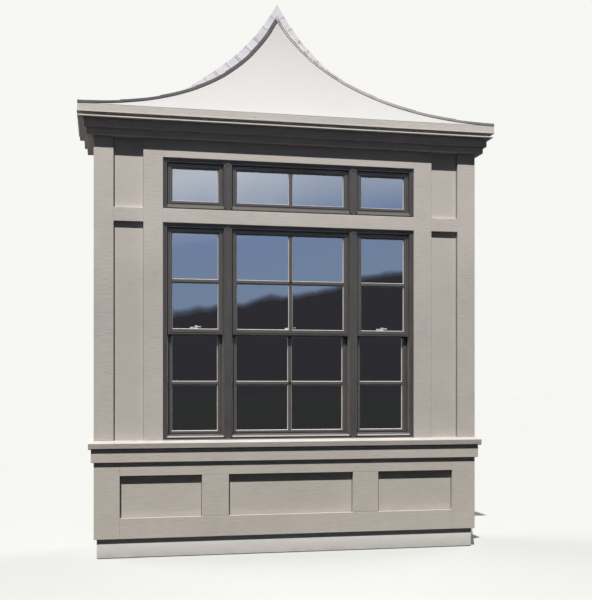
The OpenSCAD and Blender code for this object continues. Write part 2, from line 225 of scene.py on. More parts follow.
def band_sawn_paint(name, rgb, line_strength, darker_low=0):
    """Satin paint on rough-sawn timber: level saw lines, soft blotches, dents and dusty streaks.

    Below the transoms the paint is darker, by the share that is given as the last argument.
    """
    saw_lines, full_dark_below, no_dark_above = 130, 1.75, 2.4
    made = Finish(name, rgb)
    saw = made.noise(1, (12, 12, saw_lines), 4, 0.65)
    grain = made.noise(1, (140, 140, 30), 3, 0.6)
    blotch = made.noise(2.2, detail=5, rough=0.6)
    streak = made.noise(1, (16, 16, 1.1), 4, 0.6)
    cells = made.node("TexVoronoi", {"Vector": made.stretched((4.5, 4.5, 14)), "Scale": 1})
    rare = made.spread(made.noise(3.1, detail=2), 0.5, 0.56)
    dent = made.math("MULTIPLY", made.spread(cells, 0, 0.055, 1, 0), rare)
    made.mottle(blotch, 0.32, 0.7, 0.93, 1.05)
    made.touch(1.22, saw, 0.44, 0.74, 0, line_strength)
    made.touch(0.62, saw, 0.26, 0.48, line_strength, 0)
    made.touch(0.82, streak, 0.6, 0.85, 0, 0.225)
    made.touch(0.3, dent, 0, 1, 0, 0.75)
    # Darker towards the bottom: below the transoms the tone is pulled towards black.
    made.touch(0, made.along("Z"), full_dark_below, no_dark_above, darker_low, 0)
    lines = made.spread(saw, 0.25, 0.75)
    bumps = [(lines, 0.0022, line_strength), (grain, 0.0005, 0.3), (dent, -0.0025, 0.8)]
    return made.surface(made.spread(blotch, 0.3, 0.7, 0.62, 0.48), bumps, Specular_IOR_Level=0.15)


def window_paint(name, rgb):
    """Dark satin paint on planed joinery, paler along its sharp edges."""
    made = Finish(name, rgb)
    cloud = made.noise(7, detail=5, rough=0.6)
    brush = made.noise(1, (90, 90, 9), 3)
    made.mottle(cloud, 0.35, 0.7, 0.86, 1.18)
    # Paler along convex edges, found by pointiness.
    made.touch(1.9, made.node("NewGeometry", output="Pointiness"), 0.53, 0.6, 0, 0.5)
    return made.surface(made.spread(cloud, 0.3, 0.7, 0.34, 0.5), [(brush, 0.0004, 0.35)])


def smooth_coat(name, rgb, rough=0.55, patch=0.03, scale=1.6):
    """An even coat with a little dirt, hardly any relief."""
    made = Finish(name, rgb)
    cloud = made.noise(scale, detail=6, rough=0.6)
    speck = made.noise(60, detail=3)
    made.mottle(cloud, 0.3, 0.72, 1 - patch, 1 + patch * 0.4)
    made.touch(0.86, speck, 0.66, 0.8, 0, 0.25)
    return made.surface(made.spread(cloud, 0.3, 0.7, rough - 0.06, rough + 0.08), [(speck, 0.0006, 0.25)],
                        Specular_IOR_Level=0.2)


def masonry_coat(name, rgb):
    """Rendered masonry with sand grain, darker along its foot."""
    dark_foot_height = 0.09
    made = Finish(name, rgb)
    sand = made.noise(210, detail=4, rough=0.7)
    trowel = made.noise(9, detail=5)
    low = made.spread(made.along("Z"), 0, dark_foot_height, 1, 0)
    made.mottle(trowel, 0.3, 0.7, 0.93, 1.04)
    # Darker along the foot of the plinth, by the floor.
    made.touch(0.52, made.math("MULTIPLY", low, made.spread(trowel, 0.3, 0.7, 0.25, 0.8)))
    return made.surface(0.88, [(sand, 0.0014, 0.5), (trowel, 0.004, 0.35)])


def weathered_shingle(name, rgb):
    """Split timber shingles gone grey, with open grain."""
    made = Finish(name, rgb)
    grain = made.noise(1, (38, 240, 38), 5, 0.65)
    made.mottle(made.noise(4, detail=4), 0.3, 0.7, 0.7, 1.25)
    made.touch(0.45, grain, 0.35, 0.62, 0.55, 0)
    made.touch(1.2, made.node("ObjectInfo", output="Random"), 0, 1, 0, 0.25)
    return made.surface(0.86, [(grain, 0.0016, 0.6)])


def sheet_metal(name, rgb, shades=(0.86, 1.08), rough=(0.4, 0.58), lap_shade=None):
    """Dull sheet metal with soft stains and small dents; the last argument, if given, is a function that
    finds where painted shade lies along it.
    """
    made = Finish(name, rgb)
    cloud = made.noise(14, detail=5, rough=0.6)
    made.mottle(cloud, 0.32, 0.7, *shades)
    # Painted shade: the tone is pulled dark in a line at every lap, where the shadow under the lap falls.
    if lap_shade:
        made.touch(0.2, lap_shade(made))
    dents = made.noise(22, detail=2)
    return made.surface(made.spread(cloud, 0.3, 0.7, *rough), [(dents, 0.0012, 0.3)], Metallic=0.1)


def flashing_lap_shade(made):
    """Where the painted shade lies: a dark line at every lap of the step flashing, standing for the shadow
    under each lap.
    """
    roof = RoofCurves()
    out = made.math("SUBTRACT", roof.half, made.math("ABSOLUTE", made.along("X")))
    pitch = made.math("ARCTAN2", out, made.math("SUBTRACT", roof.side_cz, made.along("Z")))
    from_peak = made.math("SUBTRACT", roof.peak, pitch)
    steps = made.math("MULTIPLY", from_peak, roof.side_r / sizes().flashing_step)
    return made.spread(made.math("PINGPONG", steps, 0.5), 0.012, 0.03, 0.85, 0)


def bare_wood(name, rgb):
    """Bare softwood with its grain along X."""
    made = Finish(name, rgb)
    grain = made.noise(1, (2.2, 55, 55), 5, 0.6)
    made.mottle(grain, 0.35, 0.65, 0.72, 1.12)
    made.touch(0.85, made.noise(3), 0.4, 0.8, 0, 0.4)
    return made.surface(0.66, [(grain, 0.0006, 0.35)])


def window_glass(name, rgb):
    """Coated double glazing over a dim room: clear to shadows, mirror-like to the sky, a little dusty."""
    made = Finish(name, rgb)
    wave = made.noise(1, (3, 3, 2), 2)
    dust = made.noise(9, detail=5)
    made.surface(made.spread(dust, 0.45, 0.85, 0, 0.04), [(wave, 0.004, 0.05)],
                 Transmission_Weight=1, IOR=1.45, Coat_Weight=1, Coat_IOR=2.5, Coat_Roughness=0.002)
    nodes = made.tree.nodes
    clear = made.node("BsdfTransparent", {"Color": (0.86, 0.88, 0.89)})
    mixed = made.node("MixShader", {0: made.node("LightPath", output="Is Shadow Ray"),
                                    1: nodes["Principled BSDF"].outputs["BSDF"], 2: clear})
    made.feed(nodes["Material Output"].inputs["Surface"], mixed)
    return made.material


def floor_coat(name, seen, lit):
    """The plain pale floor: pale to the camera, duller where it throws light back up."""
    made = Finish(name, seen)
    made.tone = made.blend(made.node("LightPath", output="Is Camera Ray"), lit, made.rgb)
    return made.surface(0.9, Specular_IOR_Level=0)


FINISHES = {}


def make_finishes():
    p = bpy.context.scene.bay_paints
    FINISHES.update({
        # The wall paints grow darker below the transoms.
        "siding": band_sawn_paint("panel_paint", p.siding, 0.13, darker_low=0.13),
        "trim": band_sawn_paint("board_paint", p.trim, 0.32, darker_low=0.13),
        "base_boards": band_sawn_paint("base_board_paint", p.base, 0.3),
        "base_siding": band_sawn_paint("base_panel_paint", shade(p.base, 0.97), 0.2),
        "crown_paint": band_sawn_paint("crown_board_paint", p.crown, 0.3),
        "drip_paint": smooth_coat("drip_board_paint", p.drip, 0.45, 0.05, 8),
        "window_paint": window_paint("window_dark_paint", p.window),
        # Painted highlight: the beads are pale so that the sunlit ones show as bright lines.
        "bead_highlight_paint": smooth_coat("glazing_bead_paint", p.bead, 0.5, 0.1, 20),
        "joint_filler": smooth_coat("joint_filler", p.joint, 0.8, 0.2, 30),
        # Painted highlight: the ledges are pale where the dark frames are lit on their slopes.
        "ledge_paint": smooth_coat("ledge_paint", p.ledge, 0.5, 0.12, 20),
        "high_ledge_paint": smooth_coat("high_ledge_paint", p.high_ledge, 0.5, 0.16, 20),
        "window_glass": window_glass("window_glass", p.glass),
        "lock_paint": smooth_coat("lock_enamel", p.lock, 0.3, 0.04, 30),
        "ceiling_paint": smooth_coat("ceiling_paint", p.ceiling, 0.7, 0.04),
        "inside_wood": bare_wood("inside_wood", p.inside),
        "masonry": masonry_coat("plinth_render", p.plinth),
        "roof_white": smooth_coat("roof_front_coat", p.roof, 0.6, 0.03),
        "shingles": weathered_shingle("weathered_shingles", p.shingle),
        "hip_edging_light": sheet_metal("hip_edging_bare", p.edging),
        # Painted shade: the left-hand edging is the right-hand edging's metal in a darker colour.
        "hip_edging_painted_shade": sheet_metal("hip_edging_stained", p.shaded_edging),
        "flashing": sheet_metal("flashing_metal", p.flashing, (0.9, 1.06), (0.45, 0.6), flashing_lap_shade),
        # Painted shade: the foot strips are the flashing's metal made darker, where they lie under the
        # flashing by the wall.
        "flashing_foot": sheet_metal("flashing_foot_metal", shade(p.flashing, 0.8)),
    })


def dress(piece, finish):
    piece.data.materials.clear()
    piece.data.materials.append(FINISHES[finish])


# Modelling helpers

def clear_selection():
    """Leaves edit mode, with nothing selected."""
    if bpy.context.mode != "OBJECT":
        bpy.ops.object.mode_set(mode="OBJECT")
    bpy.ops.object.select_all(action="DESELECT")


def alone(piece):
    """The piece alone is selected, in object mode."""
    clear_selection()
    piece.select_set(True)
    bpy.context.view_layer.objects.active = piece


def begin(piece):
    """The piece alone is selected and in edit mode."""
    alone(piece)
    bpy.ops.object.mode_set(mode="EDIT")


def named(name):
    piece = bpy.context.active_object
    piece.name = piece.data.name = name
    return piece


def fix_place():
    """Takes the place, turn and scale of the selected piece into its mesh."""
    bpy.ops.object.transform_apply(location=True, rotation=True, scale=True)


def added(name, data):
    piece = bpy.data.objects.new(name, data)
    bpy.context.scene.collection.objects.link(piece)
    return piece


def pick_all():
    bpy.ops.mesh.select_all(action="SELECT")


def pick(piece, faces=None, edges=None):
    """Selects in edit mode the faces or edges that a test accepts, and says how many."""
    bpy.ops.mesh.select_mode(type="FACE" if faces else "EDGE")
    bpy.ops.mesh.select_all(action="DESELECT")
    shape = bmesh.from_edit_mesh(piece.data)
    test = faces or edges
    found = [item for item in (shape.faces if faces else shape.edges) if test(item)]
    for item in found:
        item.select_set(True)
    bmesh.update_edit_mesh(piece.data)
    return len(found)


def bevel(width, segments=2, **settings):
    bpy.ops.mesh.bevel(offset=width, segments=segments, affect="EDGES", **settings)


def outward_faces():
    pick_all()
    bpy.ops.mesh.normals_make_consistent(inside=False)


def cut_off(*planes):
    """Cuts the mesh in edit mode at each plane, (place, outward), drops what lies outside and closes it."""
    for place, outward in planes:
        pick_all()
        bpy.ops.mesh.bisect(plane_co=place, plane_no=outward, use_fill=True, clear_outer=True)


def done(piece, finish="window_paint", smooth=None):
    """Leaves edit mode, applies the place, dresses the piece and lets it ride."""
    alone(piece)
    fix_place()
    if smooth is None:
        bpy.ops.object.shade_flat()
    else:
        bpy.ops.object.shade_smooth_by_angle(angle=math.radians(smooth))
    dress(piece, finish)
    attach(piece, ROOT)
    return piece


def block(name, one, other):
    """A cube added between two opposite corners."""
    clear_selection()
    low, high = (Vector(tuple(map(end, one, other))) for end in (min, max))
    bpy.ops.mesh.primitive_cube_add(size=1, location=(low + high) / 2)
    piece = named(name)
    piece.scale = high - low
    fix_place()
    return piece


def bevelled(name, one, other, edges, width, segments=1):
    """A block whose edges are taken off, where a test accepts them."""
    piece = block(name, one, other)
    begin(piece)
    pick(piece, edges=edges)
    bevel(width, segments)
    return piece


def joined(name, members):
    alone(members[0])
    for member in members[1:]:
        member.select_set(True)
    if len(members) > 1:
        bpy.ops.object.join()
    return named(name)


def mirrored(name, source):
    """The piece for the left side, made from the right-hand one."""
    alone(source)
    bpy.ops.object.duplicate()
    piece = named(name)
    piece.scale.x = -1
    fix_place()
    begin(piece)
    outward_faces()
    return piece


def merged_copy(name, node):
    """A copy of a CAD node in edit mode, its triangles merged into whole faces."""
    piece = added(name, frame["nodes"][node].data.copy())
    begin(piece)
    pick_all()
    bpy.ops.mesh.remove_doubles(threshold=0.00002)
    bpy.ops.mesh.dissolve_limited(angle_limit=math.radians(1))
    return piece


def eased(name, node, finish, ease, shifts):
    """A copy of a CAD node with its edges rounded, which stands for the node.

    A shift first moves the edges that lie at all its places: it is (((axis, place), ...), move).
    """
    near, sharp = 0.0004, math.radians(25)
    piece = merged_copy(name, node)
    for places, move in shifts:
        if not pick(piece, edges=lambda e: all(abs(v.co[axis] - place) < near
                                               for v in e.verts for axis, place in places)):
            raise RuntimeError(f"{node} has no edge to shift")
        bpy.ops.transform.translate(value=move)
    pick(piece, edges=lambda e: len(e.link_faces) == 2 and e.calc_face_angle(0) > sharp)
    bevel(ease, clamp_overlap=True)
    done(piece, finish)
    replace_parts(piece, node)


def moulded_ring(name, xs, zs, y, steps, margin=0):
    """A mitred frame in the XZ plane: a rectangle inset step by step, each (inwards, towards the viewer)."""
    clear_selection()
    bpy.ops.mesh.primitive_plane_add(size=1, location=(sum(xs) / 2, y, sum(zs) / 2),
                                     rotation=(math.pi / 2, 0, 0))
    piece = named(name)
    piece.scale = (xs[1] - xs[0] - 2 * margin, zs[1] - zs[0] - 2 * margin, 1)
    fix_place()
    begin(piece)
    bpy.ops.mesh.select_mode(type="FACE")
    pick_all()
    for inwards, forwards in steps:
        bpy.ops.mesh.inset(thickness=inwards, depth=forwards, use_even_offset=True)
    bpy.ops.mesh.delete(type="FACE")
    pick(piece, edges=lambda e: len(e.link_faces) == 1)
    bpy.ops.mesh.bridge_edge_loops()
    outward_faces()
    return piece


# Places taken from the frame

def evenly(start, stop, count):
    return [start + (stop - start) * i / count for i in range(count + 1)]


class Sash:
    """The daylight opening and the glass of one sash, read from the CAD nodes."""

    STILE = 0.035
    GLASS_HELD = 0.008

    def __init__(self, row, side):
        self.name = f"{row}_{side}"
        self.low, self.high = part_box(f"{row}_sash_{side}")
        glass_low, glass_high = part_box(f"{row}_glass")
        self.glass_front, self.glass_back = glass_low.y, glass_high.y
        self.xs = evenly(self.low.x + self.STILE, self.high.x - self.STILE, 2 if side == "middle" else 1)
        self.zs = evenly(glass_low.z + self.GLASS_HELD, glass_high.z - self.GLASS_HELD,
                         1 if row == "transom" else 2)


class RoofCurves:
    """The circles of the side faces and of the front face, found from the boxes of the roof's nodes."""

    EAVE_ABOVE_CROWN = 0.004

    def __init__(self):
        s = sizes()
        low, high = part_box("crown_fascia")
        self.half, self.front_y, self.wall_y = high.x, low.y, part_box("side_shingles")[1].y
        eave_z = high.z + self.EAVE_ABOVE_CROWN
        self.peak = s.peak_pitch
        self.side_r = self.half / math.sin(self.peak)
        self.side_cz = eave_z + self.side_r
        depth = self.wall_y - self.front_y
        rise = self.side_r * (1 - math.cos(self.peak))
        steep = 2 * math.atan2(rise, depth) - s.front_pitch
        self.front_r = depth / (math.sin(steep) - math.sin(s.front_pitch))
        self.front_cy = self.front_y - self.front_r * math.sin(s.front_pitch)
        self.front_cz = eave_z + self.front_r * math.cos(s.front_pitch)

    def side(self, along, y=0, lift=0):
        """A point of the right-hand side face, at a length along the slope from the eave, lifted off it."""
        pitch = along / self.side_r
        r = self.side_r - lift
        return Vector((self.half - r * math.sin(pitch), y, self.side_cz - r * math.cos(pitch)))

    def hip_y(self, along):
        z = self.side_cz - self.side_r * math.cos(along / self.side_r)
        return self.front_cy + math.sqrt(self.front_r ** 2 - (self.front_cz - z) ** 2)

    def length(self):
        return self.side_r * self.peak


# Operators

class BAY_OT_finishes(Operator):
    """Makes the materials and puts one on every CAD part that stays in view"""
    bl_idname = "bay.finishes"
    bl_label = "Finishes"

    def execute(self, context):
        make_finishes()
        for part in frame["record"]["subparts"]:
            dress(frame["nodes"][part["node"]], part["material_slot"])
        return {"FINISHED"}


class BAY_OT_boards(Operator):
    """Rounds the edges of the painted boards a little, as planed timber has them"""
    bl_idname = "bay.boards"
    bl_label = "Eased boards"

    NODES = {
        "base_boards": ("base_stiles", "base_rails", "band_course"),
        "trim": ("sill_course", "transom_rail", "corner_boards", "casing_stiles", "cross_rails", "head_rail",
                 "cornice_bed", "cornice_mid"),
        "drip_paint": ("cornice_drip",),
        "crown_paint": ("crown_fascia",),
        "inside_wood": ("window_seat",),
        "masonry": ("plinth",),
        "window_paint": tuple(f"{row}_sash_{side}" for row in SASH_ROWS for side in SASH_SIDES),
    }
    EASES = {"masonry": 0.006, "window_paint": 0.0015}
    NOSE_HEIGHT, NOSE_RAISED = 0.032, 0.009

    def execute(self, context):
        drip_top, bed_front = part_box("cornice_drip")[1].z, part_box("cornice_bed")[0].y
        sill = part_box("sill_course")[0]
        nose_top = sill.z + self.NOSE_HEIGHT
        shifts = {
            "cornice_drip": [(((Z, drip_top),), (0, 0, -0.006))],
            "cornice_bed": [(((Y, bed_front),), (0, 0.004, 0))],
            "sill_course": [(((Z, nose_top),), (0, 0, self.NOSE_RAISED)),
                            (((Y, sill.y), (Z, nose_top + self.NOSE_RAISED)), (0, -0.006, 0)),
                            (((Y, sill.y), (Z, sill.z)), (0, 0, 0.004))],
        }
        for finish, nodes in self.NODES.items():
            ease = self.EASES.get(finish, sizes().board_ease)
            for node in nodes:
                eased(f"eased_{node}", node, finish, ease, shifts.get(node, ()))
        return {"FINISHED"}


def face_ends(node, axis, plane_axis, plane):
    """Where, along one axis, the faces of a node that lie in one plane end."""
    return sorted({round(v.co[axis], 4) for v in frame["nodes"][node].data.vertices
                   if abs(v.co[plane_axis] - plane) < 0.0002})


def joint_bead(one, other):
    """One bead with its long edges taken off."""
    return bevelled("joint_bead", one, other, lambda e: abs(e.verts[0].co.z - e.verts[1].co.z) > 0.01, 0.0004)


class BAY_OT_joints(Operator):
    """Sets the base panels back and runs thin beads of old dark filler beside the panels"""
    bl_idname = "bay.joints"
    bl_label = "Panel joints"

    PROUD, SUNK = 0.0012, 0.001
    CORNER_WIDE, CASING_WIDE, BASE_WIDE = 0.0042, 0.0016, 0.0026
    BASE_DEEPER = 0.009
    ABOVE_SILL = 0.004

    def execute(self, context):
        low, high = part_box("corner_boards")
        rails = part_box("cross_rails")
        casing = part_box("casing_stiles")[1].x
        inner = face_ends("corner_boards", X, Y, low.y)[-2]
        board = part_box("head_rail")[1].y - low.y
        beads = []
        for heights in ((low.z + self.ABOVE_SILL, rails[0].z), (rails[1].z, high.z)):
            for side in (-1, 1):
                beads.append(self.front_bead(inner * side, -side, self.CORNER_WIDE, low.y + board, heights))
                beads.append(self.front_bead(casing * side, side, self.CASING_WIDE, low.y + board, heights))
                beads += self.side_beads("corner_boards", side, board, self.CORNER_WIDE, heights)
        done(joined("wall_panel_joints", beads), "joint_filler")

        low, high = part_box("base_stiles")
        self.deepen_base_panels(low.y + board, high.x - board)
        board += self.BASE_DEEPER
        heights = face_ends("base_rails", Z, Y, low.y)[1:3]
        beads = [self.front_bead(x, -1 if i % 2 else 1, self.BASE_WIDE, low.y + board, heights)
                 for i, x in enumerate(face_ends("base_stiles", X, Y, low.y)[1:-1])]
        for side in (-1, 1):
            beads += self.side_beads("base_stiles", side, board, self.BASE_WIDE, heights)
        done(joined("base_panel_joints", beads), "joint_filler")
        return {"FINISHED"}

    def deepen_base_panels(self, front, side):
        """A copy of the base walls with its three outer faces set further back behind the boards."""
        walls = merged_copy("base_panels", "base_walls")
        for outward, place in (((0, -1, 0), -front), ((-1, 0, 0), side), ((1, 0, 0), side)):
            outward = Vector(outward)
            if not pick(walls, faces=lambda f: f.normal.dot(outward) > 0.9
                        and abs(f.calc_center_median().dot(outward) - place) < 0.002):
                raise RuntimeError("base_walls has no face to set back")
            bpy.ops.transform.translate(value=outward * -self.BASE_DEEPER)
        done(walls, "base_siding")
        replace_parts(walls, "base_walls")

    def front_bead(self, x, way, wide, panel, heights):
        return joint_bead((x, panel - self.PROUD, heights[0]),
                          (x + wide * way, panel + self.SUNK, heights[1]))

    def side_beads(self, node, side, board, wide, heights):
        """The two beads on one side face, beside the front and the back board of a node."""
        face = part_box(node)[1].x
        out, inside = (face - board + self.PROUD) * side, (face - board - self.SUNK) * side
        return [joint_bead((out, y, heights[0]), (inside, y + wide * way, heights[1]))
                for y, way in zip(face_ends(node, Y, X, face)[-3:-1], (1, -1))]


def set_back(node, front):
    """A copy whose face goes back, where the mouldings lie over it."""
    piece = merged_copy(f"{node}_backs", node)
    pick(piece, faces=lambda f: f.normal.y < -0.9)
    bpy.ops.transform.translate(value=(0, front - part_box(node)[0].y, 0))
    done(piece)
    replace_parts(piece, node)


class BAY_OT_mouldings(Operator):
    """Lays a mitred moulding round every window unit; neighbours meet over the posts"""
    bl_idname = "bay.mouldings"
    bl_label = "Frame mouldings"

    PROFILE = (
        (0.0006, 0.0085), (0.006, 0), (0.0008, -0.0045), (0.0028, 0), (0.0008, 0.003),
        (0.0016, 0.0012), (0.0024, 0), (0.0016, -0.0012), (0.0008, -0.0035), (0.0028, 0),
        (0.0008, 0.002), (0.0045, 0), (0.0008, -0.003), (0.002, 0), (0.008, -0.019))
    HAIR = 0.0006
    POST_HALF = 0.03
    BACKS_BEHIND, MOULDING_BEHIND = 0.008, 0.0085
    COVER_FROM_FOOT, COVER_FROM_HEAD, COVER_POINT, COVER_RIM = 0.004, 0.028, 0.02, 0.005
    FOOT_BELOW, FOOT_ABOVE, FOOT_PROUD, FOOT_ROUND = 0.0065, 0.007, 0.0135, 0.005
    HIGH_LEDGE_TALL, HIGH_LEDGE_UP, LEDGE_UP, LEDGE_END = 0.02, 0.01, 0.018, 0.031

    def execute(self, context):
        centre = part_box("mull_posts")[1].x - self.POST_HALF
        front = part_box("main_frame")[0].y
        for node in ("main_frame", "transom_frame", "mull_posts"):
            set_back(node, front + self.BACKS_BEHIND)
        for row in ("main", "transom"):
            low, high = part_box(f"{row}_frame")
            spans = {"left": (low.x, -centre), "middle": (-centre, centre), "right": (centre, high.x)}
            for side, xs in spans.items():
                done(moulded_ring(f"{row}_frame_moulding_{side}", xs, (low.z, high.z),
                                  front + self.MOULDING_BEHIND, self.PROFILE, self.HAIR))
                self.ledge(f"{row}_ledge_{side}", xs, low.z, front, row == "transom")
            for side, x in (("left", -centre), ("right", centre)):
                self.cover(f"{row}_post_cover_{side}", x, low.z + self.COVER_FROM_FOOT,
                           high.z - self.COVER_FROM_HEAD, front)
        self.foot(front)
        return {"FINISHED"}

    def foot(self, front):
        """The bar under all three main units, rounded along its upper front edge."""
        low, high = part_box("main_frame")
        done(bevelled("main_frame_foot",
                      (low.x + self.HAIR, front - self.FOOT_PROUD, low.z - self.FOOT_BELOW),
                      (high.x - self.HAIR, front + 0.002, low.z + self.FOOT_ABOVE),
                      lambda e: all(v.co.y < front - 0.01 and v.co.z > low.z for v in e.verts),
                      self.FOOT_ROUND, 3))

    def ledge(self, name, xs, sill_z, front, high_row):
        """A strip on the bottom member of one unit, its face sloped to shed water."""
        tall = self.HIGH_LEDGE_TALL if high_row else sizes().ledge_height
        z = sill_z + (self.HIGH_LEDGE_UP if high_row else self.LEDGE_UP)
        piece = block(name, (xs[0] + self.LEDGE_END, front - 0.0035, z),
                      (xs[1] - self.LEDGE_END, front + 0.006, z + tall))
        begin(piece)
        pick(piece, edges=lambda e: all(v.co.y < front and v.co.z > z + tall / 2 for v in e.verts))
        bpy.ops.transform.translate(value=(0, 0.0055, 0))
        # The ledges' pale paints are painted highlight, dimmer on the transoms.
        done(piece, "high_ledge_paint" if high_row else "ledge_paint")

    def cover(self, name, x, z0, z1, front):
        """A flat cover over the two mouldings that meet on a post, with raised rims and pointed ends."""
        s = sizes()
        half, point = s.cover_width / 2, self.COVER_POINT
        piece = block(name, (x - half, front - s.cover_proud, z0 + point),
                      (x + half, front + 0.002, z1 - point))
        begin(piece)
        for way in (-1, 1):
            pick(piece, faces=lambda f: f.normal.z * way > 0.9)
            bpy.ops.mesh.extrude_region_move(TRANSFORM_OT_translate={"value": (0, 0, point * way)})
            bpy.ops.transform.resize(value=(0.3, 1, 1))
        pick(piece, faces=lambda f: f.normal.y < -0.9)
        bpy.ops.mesh.dissolve_faces()
        pick(piece, faces=lambda f: f.normal.y < -0.9)
        bpy.ops.mesh.inset(thickness=self.COVER_RIM, depth=0)
        bpy.ops.mesh.inset(thickness=0.0025, depth=-0.003)
        done(piece)


def glazing_bar(one, other, way, across):
    """One bar: a block whose outer face narrows to a nose."""
    piece = block("glazing_bar", one, other)
    begin(piece)
    pick(piece, faces=lambda f: f.normal.y * way > 0.9)
    bpy.ops.transform.resize(value=[0.8 if axis == across else 1 for axis in (X, Y, Z)])
    bpy.ops.mesh.inset(thickness=0.0012, depth=0.0008)
    return piece


class BAY_OT_glazing(Operator):
    """Puts the bars, outside and inside, the sloped beads and the face moulding on every sash"""
    bl_idname = "bay.glazing"
    bl_label = "Bars and beads"

    SASH_PROFILE = (
        (0.0005, 0.004), (0.0065, 0), (0.0006, -0.0038), (0.0045, 0), (0.0006, 0.0042), (0.0085, 0),
        (0.001, -0.0044))
    SASH_RIM = 0.007

    def execute(self, context):
        s = sizes()
        half = s.bar_width / 2
        bead = ((0.0004, s.bar_depth * 0.78), (0.0014, 0), (s.bead_width - 0.0022, -s.bar_depth * 0.6),
                (0.0004, -s.bar_depth * 0.12))
        for sash in (Sash(row, side) for row in SASH_ROWS for side in SASH_SIDES):
            xs, zs = sash.xs, sash.zs
            bars = []
            for way, glass in ((-1, sash.glass_front), (1, sash.glass_back)):
                face = glass + way * s.bar_depth
                for x in xs[1:-1]:
                    bars.append(glazing_bar((x - half, glass, zs[0]), (x + half, face, zs[-1]), way, X))
                for z in zs[1:-1]:
                    bars.append(glazing_bar((xs[0], glass, z - half), (xs[-1], face, z + half), way, Z))
            if bars:
                done(joined(f"{sash.name}_bars", bars))
            beads = []
            for x0, x1 in zip(xs, xs[1:]):
                for z0, z1 in zip(zs, zs[1:]):
                    pane_xs = (x0 + half * (x0 > xs[0]), x1 - half * (x1 < xs[-1]))
                    pane_zs = (z0 + half * (z0 > zs[0]), z1 - half * (z1 < zs[-1]))
                    beads.append(moulded_ring("bead", pane_xs, pane_zs, sash.glass_front + 0.0003, bead))
            # The beads' pale paint is a painted highlight.
            done(joined(f"{sash.name}_beads", beads), "bead_highlight_paint")
            done(moulded_ring(f"{sash.name}_sash_moulding", (sash.low.x, sash.high.x),
                              (sash.low.z, sash.high.z), sash.low.y - 0.0002,
                              self.SASH_PROFILE, self.SASH_RIM))
        return {"FINISHED"}


class BAY_OT_locks(Operator):
    """Models the cam locks on the meeting rails: keeper, cam housing and lever on a base plate"""
    bl_idname = "bay.locks"
    bl_label = "Sash locks"

    REACH = 0.043
    PLATE = ((-0.042, -0.011, 0), (0.042, 0.011, 0.005))
    KEEPER = ((-0.036, -0.009, 0.004), (-0.008, 0.008, 0.019))
    LEVER = ((0.012, -0.006, 0.016), (REACH, 0.004, 0.024))
    HOUSING_AT, HOUSING_RADIUS, HOUSING_TALL = (0.007, 0, 0.016), 0.0105, 0.026

    def execute(self, context):
        low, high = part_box("sash_locks")
        locks = []
        for x in (low.x + self.REACH, (low.x + high.x) / 2, high.x - self.REACH):
            seat = Vector((x, (low.y + high.y) / 2, low.z))
            parts = [bevelled("lock_part", seat + Vector(one), seat + Vector(other),
                              lambda e: True, 0.0018, 2)
                     for one, other in (self.PLATE, self.KEEPER, self.LEVER)]
            clear_selection()
            bpy.ops.mesh.primitive_cylinder_add(
                vertices=20, radius=self.HOUSING_RADIUS, depth=self.HOUSING_TALL,
                location=seat + Vector(self.HOUSING_AT))
            housing = bpy.context.active_object
            begin(housing)
            pick(housing, edges=lambda e: all(v.co.z > 0.012 for v in e.verts))
            bevel(0.004, 3)
            locks.append(joined("sash_lock", [*parts, housing]))
        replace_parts(done(joined("cam_locks", locks), "lock_paint", smooth=40), "sash_locks")
        return {"FINISHED"}


def shingle_pattern(long, thick):
    """One shingle a metre wide: a wedge with a worn butt, lying up the slope along X."""
    piece = block("shingle_pattern", (0, -0.5, -0.004), (long, 0.5, thick))
    begin(piece)
    pick(piece, edges=lambda e: all(v.co.x > long - 0.001 and v.co.z > 0 for v in e.verts))
    bpy.ops.transform.translate(value=(0, 0, -thick - 0.002))
    pick(piece, edges=lambda e: all(v.co.x < 0.001 and v.co.z > 0 for v in e.verts))
    bevel(0.0018, 1)
    clear_selection()
    return piece


class BAY_OT_shingles(Operator):
    """Lays courses of shingles over both side faces, cut off along the hips"""
    bl_idname = "bay.shingles"
    bl_label = "Shingles"

    BED = 0.0042
    LAP, JOINT = 0.03, 0.004

    def execute(self, context):
        s = sizes()
        roof = RoofCurves()
        pattern = shingle_pattern(s.shingle_course + self.LAP, s.shingle_butt)
        courses = []
        for k in range(math.ceil(roof.length() / s.shingle_course)):
            right = self.course(pattern, roof, k)
            courses += [right, mirrored(f"shingle_course_left_{k:02d}", right)]
        bpy.data.objects.remove(pattern)
        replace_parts(done(joined("shingle_courses", courses), "shingles"), "side_shingles")
        return {"FINISHED"}

    def course(self, pattern, roof, k):
        """One course of the right-hand face, of shingles of uneven widths, cut off at its four sides."""
        exposed = sizes().shingle_course
        along = k * exposed + 0.004
        members = []
        y = roof.wall_y - 0.009
        stop = roof.hip_y(along) - 0.05
        while y > stop:
            width = random.uniform(0.085, 0.165)
            piece = added("shingle", pattern.data.copy())
            start = along + random.uniform(-0.003, 0.003)
            foot = roof.side(start, lift=self.BED)
            up = (roof.side(start + exposed + self.LAP, lift=self.BED) - foot).normalized()
            piece.scale = (1, width - self.JOINT, random.uniform(0.85, 1.25))
            piece.location = (foot.x, y - width / 2, foot.z)
            piece.rotation_euler = (0, -math.atan2(up.z, up.x), 0)
            members.append(piece)
            y -= width
        whole = joined(f"shingle_course_right_{k:02d}", members)
        fix_place()
        begin(whole)
        low, high = (Vector((roof.side(at).x, roof.hip_y(at), 0)) for at in (along, along + exposed))
        hip = (high - low).normalized()
        outward = Vector((hip.y, -hip.x, 0))
        if outward.y > 0:
            outward.negate()
        cut_off((low + outward * 0.006, outward), ((0.0006, 0, 0), (-1, 0, 0)),
                ((0, roof.wall_y - 0.008, 0), (0, 1, 0)),
                ((0, roof.front_y - 0.001, 0), (0, -1, 0)))
        outward_faces()
        return whole


def edging_pair(right, finish, left_name, left_finish):
    done(right, finish)
    done(mirrored(left_name, right), left_finish)


